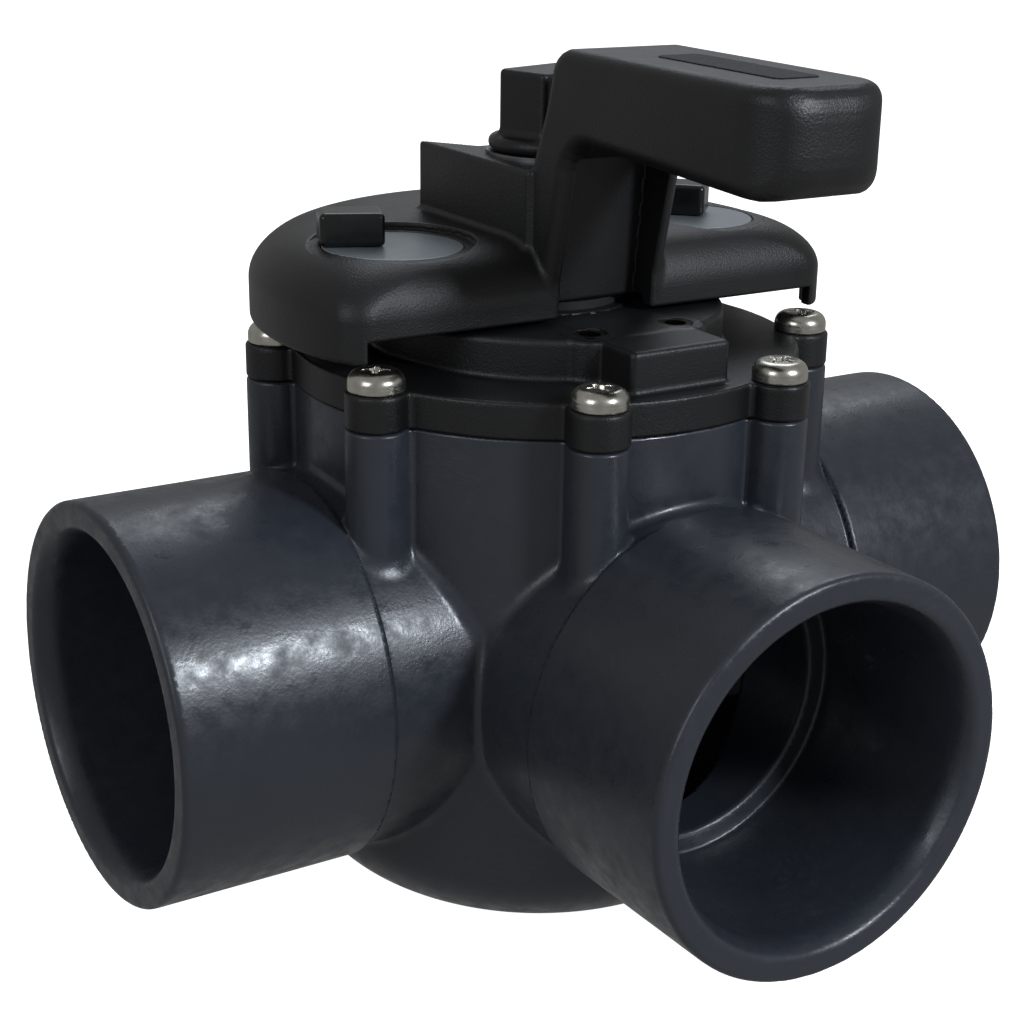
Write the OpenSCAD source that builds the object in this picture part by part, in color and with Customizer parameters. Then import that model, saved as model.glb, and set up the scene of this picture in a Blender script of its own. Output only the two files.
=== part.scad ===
// Three way diverter valve: a moulded tee body with a rotating diverter, a screwed cover,
// and a hand lever held on the stem by a lock knob.
// Origin: centre of the flat base pad, on the stem axis. +Z is up the stem,
// -Y points out of the branch port, and the run ports face -X and +X.

/* [Ports] */
// Bore of each socket, for 2 inch pipe
socket_d = 60.4; // [50:0.1:73]
// Wall of each socket; it makes the port's outside fit a 2 1/2 inch fitting
socket_wall = 6.3; // [4:0.1:8]
// How far the socket's mouth opens on each side
mouth_flare = 1.8; // [1:0.1:3]
// Length of the taper that leads into the socket
lead_in = 4; // [2:0.5:6]
// Depth of each socket, taper included
socket_depth = 38; // [30:1:39]
// Width of the ledge that stops the pipe at the socket's end
socket_ledge = 4.2; // [2:0.1:6]
// Length of each run port's outer spigot, from its shoulder to its face
run_spigot = 39.5; // [39:0.5:60]
// Length of the branch port's outer spigot
branch_spigot = 38; // [37:0.5:60]
// Step from the spigot down to the neck behind it
neck_step = 1.2; // [0.5:0.1:2]

/* [Body] */
// Bore of the chamber that the diverter turns in
chamber_d = 84; // [70:1:101]
// Wall of the body between its screw columns
body_wall = 5.5; // [5:0.5:9]
// From the base pad up to the lower edge of the waterways
below_ports = 26; // [22:1:40]
// From the upper edge of the waterways to the body's top face
above_ports = 23.5; // [22:0.5:40]
// Height at which the wall starts to curve in to the base
bowl_height = 18; // [14:1:20]
// Height of the chamber's flat floor
floor_height = 8; // [7:0.5:11]
// Diameter of the cover screws
screw_d = 5; // [4:0.5:6]
// Wall of each screw column around its insert, and of the cover's lobes
column_wall = 1.9; // [1.2:0.1:3]
// How far the screws stand outside the body's wall
screw_stand = 2.9; // [2.9:0.1:6]

/* [Cover] */
// Thickness of the cover's flange
flange_thick = 6.5; // [5:0.5:9]
// Diameter of the raised platform under the lever
platform_d = 67; // [56:1:81]
// Height of the platform above the flange
platform_height = 7.5; // [6:0.5:10]
// Width of the position lug at the front of the cover
lug_width = 21; // [14:1:26]
// From the stem axis to the lug's front face
lug_reach = 43.5; // [40:0.5:45]

/* [Stem and diverter] */
// Diameter of the stem above its seals
stem_d = 19; // [15.5:0.5:23]
// Step from the stem out to the journal that carries the O-rings
journal_step = 1.45; // [1:0.05:3]
// Thickness of the diverter's curved shield
shield_thick = 4; // [3:0.5:6]
// Angle by which the shield passes the waterway's edge on each side
shield_margin = 12; // [9:1:20]
// Width of the rubber frame on the shield
seal_width = 5; // [4:0.5:6]

/* [Lever] */
// How far the lever's dome reaches past the screw centres
dome_overhang = 4.5; // [4:0.1:8]
// Thickness of the dome's wall
dome_wall = 3; // [2:0.25:4]
// Gap between the screw heads and the dome's skirt
skirt_gap = 0.8; // [0.5:0.1:3]
// Height of the dome from its skirt to its top
dome_height = 18; // [17.5:0.5:24]
// From the stem axis to the straight front edge of the dome
front_edge = 20; // [18:0.5:23]
// Wall of the hub block on each side of the stem
hub_wall = 4.5; // [3:0.5:8]
// From the stem axis to the far end of the grip
grip_reach = 81; // [78:1:110]
// Width of the grip and of the riser that carries it
grip_width = 26; // [21:0.5:32]
// Depth of the grip from top to bottom, beside the riser
grip_depth = 15.5; // [12:0.5:18]
// How much deeper the grip is at its far end
grip_droop = 2; // [0:0.5:5]
// Height of the grip's top above the dome
grip_rise = 33; // [31:0.5:40]

/* [Lock knob] */
// Diameter of the knob's round foot
knob_foot_d = 22; // [18:0.5:23]
// Length of the knob's block
knob_length = 16; // [14:0.5:19]
// Thickness of the knob's block
knob_thick = 11; // [11:0.5:12]
// Height of the whole knob
knob_height = 14.5; // [12:0.5:18]
// How far the knob is turned in the closed position
knob_turn = 17; // [0:1:90]

/* [Hidden] */
$fn = 96;
e = 0.02; // Overshoot of each cut past the face that it opens
RUN_GAP = 0.05; // Radial clearance where one part turns in another
REST_GAP = 0.1; // Clearance where still parts drop together
SEAL_GAP = 0.3; // Gap from the rubber frame to the chamber's wall
BODY_GREY = [0.17, 0.19, 0.22];
BLACK = [0.06, 0.06, 0.065];
RUBBER = [0.03, 0.03, 0.03];
BRASS = [0.71, 0.57, 0.27];
STEEL = [0.75, 0.75, 0.76];
ACETAL = [0.86, 0.85, 0.8];

// Body
port_r = socket_d/2 + socket_wall;
neck_r = port_r - neck_step;
waterway_r = socket_d/2 - socket_ledge;
port_height = below_ports + waterway_r;
body_height = port_height + waterway_r + above_ports;
chamber_r = chamber_d/2;
body_r = chamber_r + body_wall;
bowl_depth = bowl_height + 3.5; // Half axis of the bowl's ellipse, cut off by the base pad
screw_r = screw_d/2;
insert_r = screw_r + 1.1;
column_r = insert_r + column_wall;
column_low = port_height + waterway_r - 4; // Where the screw columns start to taper away
column_tip = 4;
screw_count = 8;
screw_circle = body_r + screw_stand;
shoulder_gap = 0.07; // From the screw columns to the shoulder of each spigot
shoulder_reach = screw_circle*cos(180/screw_count) + column_r + shoulder_gap;
run_reach = shoulder_reach + run_spigot;
branch_reach = shoulder_reach + branch_spigot;
ports = [[0, branch_reach], [-90, run_reach], [90, run_reach]]; // Turn from -Y, and reach
bush_pocket_r = 10;
bush_pocket_low = 3;

// Cover and its screws
flange_r = body_r + 0.5;
flange_top = body_height + flange_thick;
platform_r = platform_d/2;
platform_top = flange_top + platform_height;
cover_wall = 4;
lip_r = chamber_r - 0.2;
lip_depth = 6;
o_ring_r = 1.3; // Cord radius of the cover's O-ring
groove_r = lip_r + 2*o_ring_r + 2*REST_GAP;
ring_pocket = 2*o_ring_r + REST_GAP;
housing_wall = 5;
housing_low = body_height - 4.5;
housing_top = platform_top + 0.5;
screw_head_r = 2*screw_r;
screw_head = 3.7;
screw_length = 20;
insert_length = 12;
post_r = 5.5;
post_circle = 30;
post_angles = [18, 162, 198, 342];
post_insert_r = 3;
post_insert_depth = 7;

// Stem and diverter
stem_r = stem_d/2;
journal_r = stem_r + journal_step;
housing_bore = journal_r + RUN_GAP;
housing_r = housing_bore + housing_wall;
stop_in = housing_r + 2; // Inner and outer radius of the travel stops inside the cover
stop_out = stop_in + 10;
stop_half = 3;
stop_gap = 0.3;
journal_top = flange_top - 1;
washer_thick = 0.8;
bush_low = journal_top + RUN_GAP + washer_thick;
dust_seal_thick = 1.5;
hub_low = housing_top + dust_seal_thick + 0.5;
top_disc = body_height - 9.5;
disc_thick = 4;
shield_r = chamber_r - 3;
shield_low = below_ports - 6;
shield_half_angle = asin(waterway_r/chamber_r) + shield_margin;
shield_high = top_disc - disc_thick;
lower_hub_low = floor_height + 1.6;
lower_hub_high = lower_hub_low + 6;
pivot_r = 7;
flat_half = stem_r - 2; // Half of the width across the stem's two flats
stud_r = 4;
stud_length = 28;
stem_ring_r = 1.4; // Cord radius of the stem's O-rings
stem_ring_heights = [journal_top - 3, journal_top - 7.2];

// Lever
skirt_low = flange_top + screw_head + skirt_gap;
dome_r = screw_circle + dome_overhang;
dome_top = skirt_low + dome_height;
dome_flat_r = dome_r - 20.5;
dome_shoulder = dome_top - 11;
front_round = 12;
front_low = platform_top + 0.8;
hub_half = stem_r + hub_wall;
hub_top = dome_top + 11.5;
hub_tail = 23.2;
notch_reach = 9.8; // Of the dovetail notch in the hub's tail, its flank and its lip
notch_flank = 7.4;
notch_lip = 0.5;
leg_width = 3; // Of the skirt's legs beside the low front opening
side_notch = [-14, 8]; // Reach along Y of the notch in the right side of the skirt
stem_top = hub_top - 2;
grip_top = dome_top + grip_rise;
grip_low = grip_top - grip_depth;
grip_half = grip_width/2;
riser_back = knob_foot_d/2 + 2.6; // Back of the riser beside the lock knob's foot
end_round = 10.5;
top_round = 5;
under_round = 7;
arch_round = 6.5;
channel_wall = 3;
well_x = 32.5; // Centre of the round well in each wing of the dome
well_r = 14.8;
well_depth = 2.5;
well_floor = 2.5; // Thickness of the dome under the well
well_low = dome_top - well_depth;
plate_r = 12.6;
plate_thick = 1;
tab_left = [-38.5, 4.5, -22]; // Each tab's place along X and Y, and its turn
tab_right = [33, 4, -45];
tab_long = 11.5;
tab_wide = 8;
tab_top = dome_top + 3.5;
tab_peg = [8, 5];
tab_peg_low = front_low + 0.7;
badge_near = 38; // Reach of the blank badge along the grip
badge_far = 70;
badge_half = 4.5;
badge_thick = 0.6;

// Lock knob
clamp_washer = 0.8;
knob_low = hub_top + clamp_washer;
knob_foot = 2.7;
knob_insert_r = 5.2;
knob_insert_length = 10;

// Children repeated on a circle at each of the listed angles, counted from -Y
module on_circle(radius, angles) {
    for (a = angles) rotate([0, 0, a]) translate([0, -radius, 0]) children();
}

module at_screws() {
    on_circle(screw_circle, [for (i = [0:screw_count - 1]) (i + 0.5)*360/screw_count]) children();
}

// Points of an ellipse's arc in the plane of a turned profile
function arc(cx, cy, rx, ry, from, to, steps) =
    [for (i = [0:steps]) let (a = from + (to - from)*i/steps) [cx + rx*cos(a), cy + ry*sin(a)]];

// A wedge about the stem axis that opens toward +Y
module wedge(half_angle, low, high) {
    reach = 2*chamber_r;
    translate([0, 0, low]) linear_extrude(high - low)
        polygon([[0, 0], [reach*sin(half_angle), reach*cos(half_angle)],
            [-reach*sin(half_angle), reach*cos(half_angle)]]);
}

// ---- Body ----

module bowl_shape() {
    edge = asin(bowl_height/bowl_depth);
    rotate_extrude() polygon(concat([[0, 0]],
        arc(0, bowl_height, body_r, bowl_depth, -edge, 0, 12),
        [[body_r, body_height], [0, body_height]]));
}

module chamber_shape() {
    dish = shield_low - floor_height;
    dish_axis = 1.25*dish; // Half axis of the dish's ellipse, cut off by the flat floor
    edge = asin(dish/dish_axis);
    rotate_extrude() polygon(concat([[0, floor_height]],
        arc(0, floor_height + dish, chamber_r, dish_axis, -edge, 0, 12),
        [[chamber_r, body_height + e], [0, body_height + e]]));
}

// Outside of a port that faces -Y, out to its reach
module port_outside(reach) {
    translate([0, 0, port_height]) rotate([90, 0, 0]) {
        cylinder(h = reach - 1, r = neck_r);
        translate([0, 0, shoulder_reach]) cylinder(h = reach - shoulder_reach, r = port_r);
    }
}

// Waterway, socket and lead-in taper of the same port
module port_inside(reach) {
    translate([0, 0, port_height]) rotate([90, 0, 0]) {
        cylinder(h = reach, r = waterway_r);
        translate([0, 0, reach - socket_depth]) cylinder(h = socket_depth + 1, d = socket_d);
        translate([0, 0, reach - lead_in]) 
            cylinder(h = lead_in + e, r1 = socket_d/2, r2 = socket_d/2 + mouth_flare);
    }
}

module screw_column() {
    translate([0, 0, column_low]) cylinder(h = body_height - column_low, r = column_r);
    translate([0, 0, column_low - column_tip]) cylinder(h = column_tip, r1 = column_r/2, r2 = column_r);
}

module valve_body() {
    color(BODY_GREY) difference() {
        union() {
            bowl_shape();
            for (p = ports) rotate([0, 0, p[0]]) port_outside(p[1]);
            at_screws() screw_column();
        }
        chamber_shape();
        for (p = ports) rotate([0, 0, p[0]]) port_inside(p[1]);
        translate([0, 0, body_height - ring_pocket]) cylinder(h = ring_pocket + 1, r = groove_r);
        translate([0, 0, bush_pocket_low]) cylinder(h = floor_height, r = bush_pocket_r);
        at_screws() translate([0, 0, flange_top - screw_length - 1])
            cylinder(h = screw_length, r = screw_r + REST_GAP);
        at_screws() translate([0, 0, body_height - insert_length])
            cylinder(h = insert_length + 1, r = insert_r);
    }
}

// Eight threaded brass sleeves in the screw columns
module screw_inserts() {
    color(BRASS) at_screws() translate([0, 0, body_height - insert_length]) difference() {
        cylinder(h = insert_length - REST_GAP, r = insert_r);
        translate([0, 0, -1]) cylinder(h = insert_length + 2, r = screw_r + RUN_GAP);
    }
}

// Flanged bush that the diverter's lower pivot turns in
module lower_bush() {
    color(ACETAL) difference() {
        union() {
            translate([0, 0, bush_pocket_low])
                cylinder(h = floor_height - bush_pocket_low, r = bush_pocket_r);
            translate([0, 0, floor_height]) cylinder(h = 1.5, r = bush_pocket_r + 3);
        }
        translate([0, 0, -1]) cylinder(h = floor_height + 5, r = pivot_r + RUN_GAP);
    }
}

// ---- Cover ----

module post() {
    translate([0, 0, flange_top]) cylinder(h = platform_height, r = post_r);
}

// Stop rib that the diverter's fin meets at the end of its travel
module travel_stop() {
    translate([stop_in, stop_half + stop_gap, top_disc + 1.5])
        cube([stop_out - stop_in, 2*stop_half, platform_top - cover_wall - top_disc]);
}

module cover() {
    color(BLACK) difference() {
        union() {
            difference() {
                union() {
                    translate([0, 0, body_height]) cylinder(h = flange_thick, r = flange_r);
                    at_screws() translate([0, 0, body_height]) cylinder(h = flange_thick, r = column_r);
                    translate([0, 0, body_height - lip_depth]) cylinder(h = lip_depth + e, r = lip_r);
                    translate([0, 0, flange_top - e]) cylinder(h = platform_height + e, r = platform_r);
                    translate([-lug_width/2, -lug_reach, flange_top - e])
                        cube([lug_width, lug_reach/2, platform_height + e]);
                    on_circle(post_circle, post_angles) post();
                }
                translate([0, 0, body_height - lip_depth - 1])
                    cylinder(h = lip_depth + 1, r = lip_r - cover_wall);
                translate([0, 0, body_height - e])
                    cylinder(h = platform_top - cover_wall - body_height + e, r = platform_r - 3.5);
            }
            translate([0, 0, housing_low]) cylinder(h = housing_top - housing_low, r = housing_r);
            travel_stop();
            mirror([1, 0, 0]) travel_stop();
            on_circle(post_circle, post_angles)
                translate([0, 0, flange_top - 2]) cylinder(h = platform_height + 2, r = post_r);
        }
        translate([0, 0, housing_low - 1])
            cylinder(h = housing_top - housing_low + 2, r = housing_bore);
        at_screws() translate([0, 0, body_height - 1])
            cylinder(h = flange_thick + 2, r = screw_r + 0.3);
        on_circle(post_circle, post_angles) translate([0, 0, platform_top - post_insert_depth])
            cylinder(h = post_insert_depth + 1, r = post_insert_r);
    }
}

// Pan head screws with a cross recess
module cover_screws() {
    color(STEEL) at_screws() translate([0, 0, flange_top]) {
        difference() {
            rotate_extrude() polygon(concat([[0, -screw_length], [screw_r, -screw_length],
                [screw_r, 0], [screw_head_r, 0]],
                arc(screw_head_r - 2.6, screw_head - 2.6, 2.6, 2.6, 0, 90, 6), [[0, screw_head]]));
            for (a = [0, 90]) rotate([0, 0, a]) translate([-2.4, -0.5, screw_head - 1.8])
                cube([4.8, 1, 2]);
        }
    }
}

module cover_o_ring() {
    color(RUBBER) translate([0, 0, body_height - o_ring_r - REST_GAP/2]) rotate_extrude()
        translate([lip_r + o_ring_r + REST_GAP, 0]) circle(r = o_ring_r, $fn = 32);
}

// Sleeve that guides the stem in the cover's housing
module stem_bush() {
    color(ACETAL) translate([0, 0, bush_low]) difference() {
        cylinder(h = housing_top - bush_low, r = housing_bore);
        translate([0, 0, -1]) cylinder(h = housing_top, r = stem_r + RUN_GAP);
    }
}

module thrust_washer() {
    color(STEEL) translate([0, 0, bush_low - washer_thick]) difference() {
        cylinder(h = washer_thick, r = housing_bore - RUN_GAP);
        translate([0, 0, -1]) cylinder(h = washer_thick + 2, r = stem_r + RUN_GAP);
    }
}

module dust_seal() {
    color(RUBBER) translate([0, 0, housing_top]) difference() {
        cylinder(h = dust_seal_thick, r = housing_r - 2);
        translate([0, 0, -1]) cylinder(h = dust_seal_thick + 2, r = stem_r + RUN_GAP);
    }
}

// Threaded inserts in the four posts that carry an actuator in place of the lever
module actuator_inserts() {
    color(BRASS) on_circle(post_circle, post_angles)
        translate([0, 0, platform_top - post_insert_depth]) difference() {
            cylinder(h = post_insert_depth, r = post_insert_r);
            translate([0, 0, 1.5]) cylinder(h = post_insert_depth, r = 2);
        }
}

// ---- Diverter ----

// Round parts of the diverter: pivot, lower hub, upper hub, journal with grooves, and stem
module stem_profile() {
    groove_in = journal_r - 2*stem_ring_r;
    groove_half = stem_ring_r + 0.2;
    difference() {
        rotate_extrude() polygon([[0, top_disc - 1], [housing_r - 3, top_disc - 1],
            [housing_r - 3, housing_low - 0.2], [journal_r, housing_low - 0.2],
            [journal_r, journal_top], [stem_r, journal_top], [stem_r, hub_low], [0, hub_low]]);
        for (z = stem_ring_heights) translate([0, 0, z - groove_half]) difference() {
            cylinder(h = 2*groove_half, r = journal_r + 1);
            translate([0, 0, -1]) cylinder(h = 2*groove_half + 2, r = groove_in);
        }
    }
}

// The flatted drive at the stem's top, shrunk or grown by a gap
module drive_flats(low, high, gap) {
    intersection() {
        translate([0, 0, low]) cylinder(h = high - low, r = stem_r + gap);
        translate([-flat_half - gap, -stem_r - 1, low]) cube([2*(flat_half + gap), 2*stem_r + 2, high - low]);
    }
}

module shield() {
    intersection() {
        difference() {
            translate([0, 0, shield_low]) cylinder(h = shield_high - shield_low + e, r = shield_r);
            translate([0, 0, shield_low - 1])
                cylinder(h = shield_high - shield_low + 2, r = shield_r - shield_thick);
        }
        wedge(shield_half_angle, shield_low - 2, shield_high + 2);
    }
}

// Sloping arm from the lower hub out to the foot of the shield
module lower_arm() {
    rotate([90, 0, 90]) translate([0, 0, -5]) linear_extrude(10)
        polygon([[0, lower_hub_low], [10, lower_hub_low], [shield_r - 10, shield_low - 5],
            [shield_r - 1, shield_low], [shield_r - 1, shield_low + 12],
            [shield_r - shield_thick, shield_low + 12], [8, lower_hub_high + 3], [0, lower_hub_high + 3]]);
}

module diverter() {
    color(ACETAL) difference() {
        union() {
            stem_profile();
            drive_flats(hub_low - e, stem_top, 0);
            intersection() {
                translate([0, 0, shield_high]) cylinder(h = disc_thick, r = shield_r);
                union() {
                    wedge(shield_half_angle, shield_high, top_disc);
                    translate([0, 0, shield_high]) cylinder(h = disc_thick, r = stop_out);
                }
            }
            translate([-stop_half, -stop_out, top_disc - e])
                cube([2*stop_half, stop_out - 10, housing_low - top_disc + 1]);
            shield();
            lower_arm();
            translate([0, 0, lower_hub_low])
                cylinder(h = lower_hub_high + 3 - lower_hub_low, r = 10);
            translate([0, 0, bush_pocket_low + 0.6]) cylinder(h = lower_hub_low, r = pivot_r);
        }
        // The fin stays outside the housing that hangs from the cover
        translate([0, 0, housing_low - 0.2]) difference() {
            cylinder(h = 5, r = housing_r + 0.5);
            translate([0, 0, -1]) cylinder(h = 7, r = journal_r);
        }
        translate([0, 0, stem_top + stud_length/2 - stud_length])
            cylinder(h = stud_length, r = stud_r);
    }
}

// Rubber frame around the shield's outer face
module diverter_seal() {
    edge = asin(seal_width/shield_r);
    color(RUBBER) intersection() {
        difference() {
            translate([0, 0, shield_low]) cylinder(h = shield_high - shield_low, r = chamber_r - SEAL_GAP);
            translate([0, 0, shield_low - 1]) cylinder(h = shield_high - shield_low + 2, r = shield_r);
            wedge(shield_half_angle - edge, shield_low + seal_width, shield_high - seal_width);
        }
        wedge(shield_half_angle, shield_low - 2, shield_high + 2);
    }
}

module stem_o_rings() {
    color(RUBBER) for (z = stem_ring_heights) translate([0, 0, z]) rotate_extrude()
        translate([journal_r - stem_ring_r, 0]) circle(r = stem_ring_r, $fn = 32);
}

// Threaded stud set in the top of the stem
module lock_stud() {
    color(STEEL) translate([0, 0, stem_top - stud_length/2]) cylinder(h = stud_length, r = stud_r);
}

// ---- Lever ----

// The domed disc with a straight, rounded front, shrunk by an inset
module dome(inset) {
    low = skirt_low - (inset > 0 ? 1 : 0);
    side = dome_top - dome_shoulder - inset;
    intersection() {
        rotate_extrude() polygon(concat([[0, low], [dome_r - inset, low]],
            arc(dome_flat_r, dome_shoulder, dome_r - dome_flat_r - inset, side, 0, 90, 10),
            [[0, dome_top - inset]]));
        rotate([90, 0, 90]) translate([0, 0, -dome_r]) linear_extrude(2*dome_r)
            polygon(concat([[dome_r, low], [dome_r, dome_top - inset]],
                [for (p = arc(front_edge - front_round, dome_shoulder, front_round - inset, side, 90, 0, 10))
                    [-p[0], p[1]]],
                [[inset - front_edge, low]]));
    }
}

// Side view of the riser and grip, with Y to the right and Z up
module lever_profile() {
    back = -riser_back;
    polygon(concat(
        [[back + 3.6, hub_low], [back, hub_top + 1.7], [back - 3.7, grip_top - 10.4]],
        arc(back - 5.2 - top_round, grip_top - top_round, top_round, top_round, 0, 90, 6),
        arc(-grip_reach + top_round, grip_top - top_round, top_round, top_round, 90, 180, 6),
        arc(-grip_reach + under_round, grip_low - grip_droop + under_round,
            under_round, under_round, 180, 270, 6),
        arc(back - 17.4, grip_low - arch_round, arch_round, arch_round, 90, 0, 6),
        [[back - 9.8, hub_top - 1], [back - 5.7, hub_low]]));
}

module riser_and_grip() {
    intersection() {
        rotate([90, 0, 90]) translate([0, 0, -grip_half]) linear_extrude(grip_width) lever_profile();
        translate([0, 0, hub_low - 1]) linear_extrude(grip_top) union() {
            translate([-grip_half, -grip_reach + end_round]) square([grip_width, grip_reach]);
            translate([-grip_half + end_round, -grip_reach])
                square([grip_width - 2*end_round, grip_reach]);
            for (x = [-1, 1]) translate([x*(grip_half - end_round), -grip_reach + end_round])
                circle(r = end_round);
        }
    }
}

// The open channel up the front of the riser
module riser_channel() {
    rotate([90, 0, 90]) translate([0, 0, -grip_half + channel_wall])
        linear_extrude(grip_width - 2*channel_wall)
        polygon([[0.1 - riser_back, hub_low - 5], [-riser_back - 3.4, hub_top + 1.7],
            [-riser_back - 5.9, grip_low - 1], [-riser_back - 31, grip_low - 1],
            [-riser_back - 31, hub_low - 5]]);
}

// Block that grips the stem, with a notch in its tail
module hub() {
    notch = hub_tail - notch_reach;
    difference() {
        translate([-hub_half, -riser_back - 1.4, hub_low])
            cube([2*hub_half, riser_back + 1.4 + hub_tail, hub_top - hub_low]);
        translate([0, 0, dome_top]) linear_extrude(hub_top)
            polygon([[-hub_half + notch_lip, hub_tail + e], [-hub_half + notch_flank, notch],
                [hub_half - notch_flank, notch], [hub_half - notch_lip, hub_tail + e]]);
    }
}

module handle() {
    opening_half = sqrt(pow(dome_r, 2) - pow(front_edge, 2)) - leg_width;
    color(BLACK) difference() {
        union() {
            difference() {
                dome(0);
                dome(dome_wall);
                translate([-opening_half, -front_edge - 1, skirt_low - 1])
                    cube([2*opening_half, dome_wall + 2, front_low - skirt_low + 1]);
                translate([dome_r - 2*dome_wall, side_notch[0], skirt_low - 1])
                    cube([2*dome_wall + 1, side_notch[1] - side_notch[0], front_low - skirt_low + 1]);
            }
            intersection() {
                dome(0);
                for (s = [-1, 1]) translate([s*well_x, 0, well_low - well_floor])
                    cylinder(h = 2*well_floor, r = well_r + dome_wall);
            }
            hub();
            riser_and_grip();
        }
        riser_channel();
        drive_flats(hub_low - 1, hub_top + 1, REST_GAP);
        for (s = [-1, 1]) translate([s*well_x, 0, 0]) {
            translate([0, 0, well_low]) cylinder(h = 2*well_depth, r = well_r);
            translate([0, 0, well_low - plate_thick]) cylinder(h = plate_thick + 1, r = plate_r + REST_GAP);
        }
        at_tab(tab_left) tab_peg_shape(well_low - 2*well_floor, dome_top, RUN_GAP);
        at_tab(tab_right) tab_peg_shape(well_low - 2*well_floor, dome_top, RUN_GAP);
        translate([-badge_half, -badge_far, grip_top - badge_thick])
            cube([2*badge_half, badge_far - badge_near, 1]);
    }
}

module handle_washer() {
    color(STEEL) translate([0, 0, hub_top]) difference() {
        cylinder(h = clamp_washer, r = knob_foot_d/2 + 0.5);
        translate([0, 0, -1]) cylinder(h = 3, r = stud_r + 0.3);
    }
}

// Blank strip let into the top of the grip
module grip_badge() {
    color(BLACK) translate([-badge_half, -badge_far, grip_top - badge_thick])
        cube([2*badge_half, badge_far - badge_near, 1.4*badge_thick]);
}

// Places a tab's parts where the tab stands
module at_tab(place) {
    translate([place[0], place[1], 0]) rotate([0, 0, place[2]]) children();
}

// Round dial plate on the floor of a well
module indicator_plate(side, place) {
    color(STEEL) difference() {
        translate([side*well_x, 0, well_low - plate_thick]) cylinder(h = plate_thick - RUN_GAP, r = plate_r);
        at_tab(place) tab_peg_shape(well_low - 2*plate_thick, dome_top, REST_GAP);
    }
}

module indicator_plate_left() {
    indicator_plate(-1, tab_left);
}

module indicator_plate_right() {
    indicator_plate(1, tab_right);
}

// A tab's peg from one height to another, grown by a gap
module tab_peg_shape(low, high, gap) {
    translate([-tab_peg[0]/2 - gap, -tab_peg[1]/2 - gap, low])
        cube([tab_peg[0] + 2*gap, tab_peg[1] + 2*gap, high - low]);
}

// Stop tab: a block in the well, a peg through its floor, and a barb that keeps it in
module stop_tab(place) {
    color(BLACK) at_tab(place) {
        translate([-tab_long/2, -tab_wide/2, well_low + RUN_GAP])
            cube([tab_long, tab_wide, tab_top - well_low - RUN_GAP]);
        tab_peg_shape(tab_peg_low, dome_top, 0);
        translate([-tab_peg[0]/2 - 0.8, -tab_peg[1]/2, tab_peg_low])
            cube([tab_peg[0] + 1.6, tab_peg[1], 1.5]);
    }
}

module stop_tab_left() {
    stop_tab(tab_left);
}

module stop_tab_right() {
    stop_tab(tab_right);
}

// ---- Lock knob ----

module knob_insert() {
    color(BRASS) translate([0, 0, knob_low]) difference() {
        cylinder(h = knob_insert_length, r = knob_insert_r);
        translate([0, 0, -1]) cylinder(h = knob_insert_length + 2, r = stud_r + RUN_GAP);
    }
}

module lock_knob() {
    color(BLACK) translate([0, 0, knob_low]) difference() {
        union() {
            cylinder(h = knob_foot, d = knob_foot_d);
            rotate([0, 0, knob_turn]) translate([-knob_length/2, -knob_thick/2, 0])
                cube([knob_length, knob_thick, knob_height]);
        }
        translate([0, 0, -1]) cylinder(h = knob_insert_length + 1, r = knob_insert_r);
        translate([0, 0, -1]) cylinder(h = knob_height, r = stud_r + 0.3);
    }
}

valve_body();
screw_inserts();
lower_bush();
cover();
cover_screws();
cover_o_ring();
stem_bush();
thrust_washer();
dust_seal();
actuator_inserts();
diverter();
diverter_seal();
stem_o_rings();
lock_stud();
handle();
handle_washer();
grip_badge();
indicator_plate_left();
indicator_plate_right();
stop_tab_left();
stop_tab_right();
knob_insert();
lock_knob();
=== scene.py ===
import math

import bpy
import numpy as np
from mathutils import Matrix, Vector


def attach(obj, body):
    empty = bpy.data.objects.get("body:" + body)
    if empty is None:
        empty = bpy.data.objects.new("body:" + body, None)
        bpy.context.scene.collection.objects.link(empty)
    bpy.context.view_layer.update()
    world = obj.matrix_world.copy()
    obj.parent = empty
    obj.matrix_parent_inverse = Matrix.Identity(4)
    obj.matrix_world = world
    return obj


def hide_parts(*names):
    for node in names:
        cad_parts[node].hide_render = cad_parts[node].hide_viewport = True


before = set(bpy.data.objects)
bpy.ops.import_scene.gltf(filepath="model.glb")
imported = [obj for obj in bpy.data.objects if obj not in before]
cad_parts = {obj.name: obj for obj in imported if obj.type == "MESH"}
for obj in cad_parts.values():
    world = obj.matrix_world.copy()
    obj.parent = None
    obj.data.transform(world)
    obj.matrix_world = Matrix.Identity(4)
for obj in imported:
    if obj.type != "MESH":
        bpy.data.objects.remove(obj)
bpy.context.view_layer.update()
MM = 0.001


# ---------------------------------------------------------------------------
# Camera: a long lens a little above the handle, looking in between the left run
# port and the branch port, with its lens shifted down and to the right.
# ---------------------------------------------------------------------------
camera_turn = math.radians(-35.162)
camera_tilt = math.radians(21.026)
camera_roll = math.radians(1.824)
camera_place = Vector((-206.0, -314.12, 200.56)) * MM
lens_mm = 71.607
lens_shift = (-0.0912, 0.0812)

ahead = Vector((-math.sin(camera_turn) * math.cos(camera_tilt),
                math.cos(camera_turn) * math.cos(camera_tilt),
                -math.sin(camera_tilt)))
level_right = ahead.cross(Vector((0, 0, 1))).normalized()
level_up = level_right.cross(ahead)
right = math.cos(camera_roll) * level_right + math.sin(camera_roll) * level_up
up = math.cos(camera_roll) * level_up - math.sin(camera_roll) * level_right
camera_data = bpy.data.cameras.new("camera")
camera_data.lens = lens_mm
camera_data.sensor_width = 36
camera_data.shift_x = lens_shift[0]
camera_data.shift_y = lens_shift[1]
camera_data.clip_start = 0.01
camera = bpy.data.objects.new("camera", camera_data)
camera.matrix_world = Matrix.Translation(camera_place) @ Matrix((right, up, -ahead)).transposed().to_4x4()
bpy.context.collection.objects.link(camera)
bpy.context.scene.camera = camera


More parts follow.
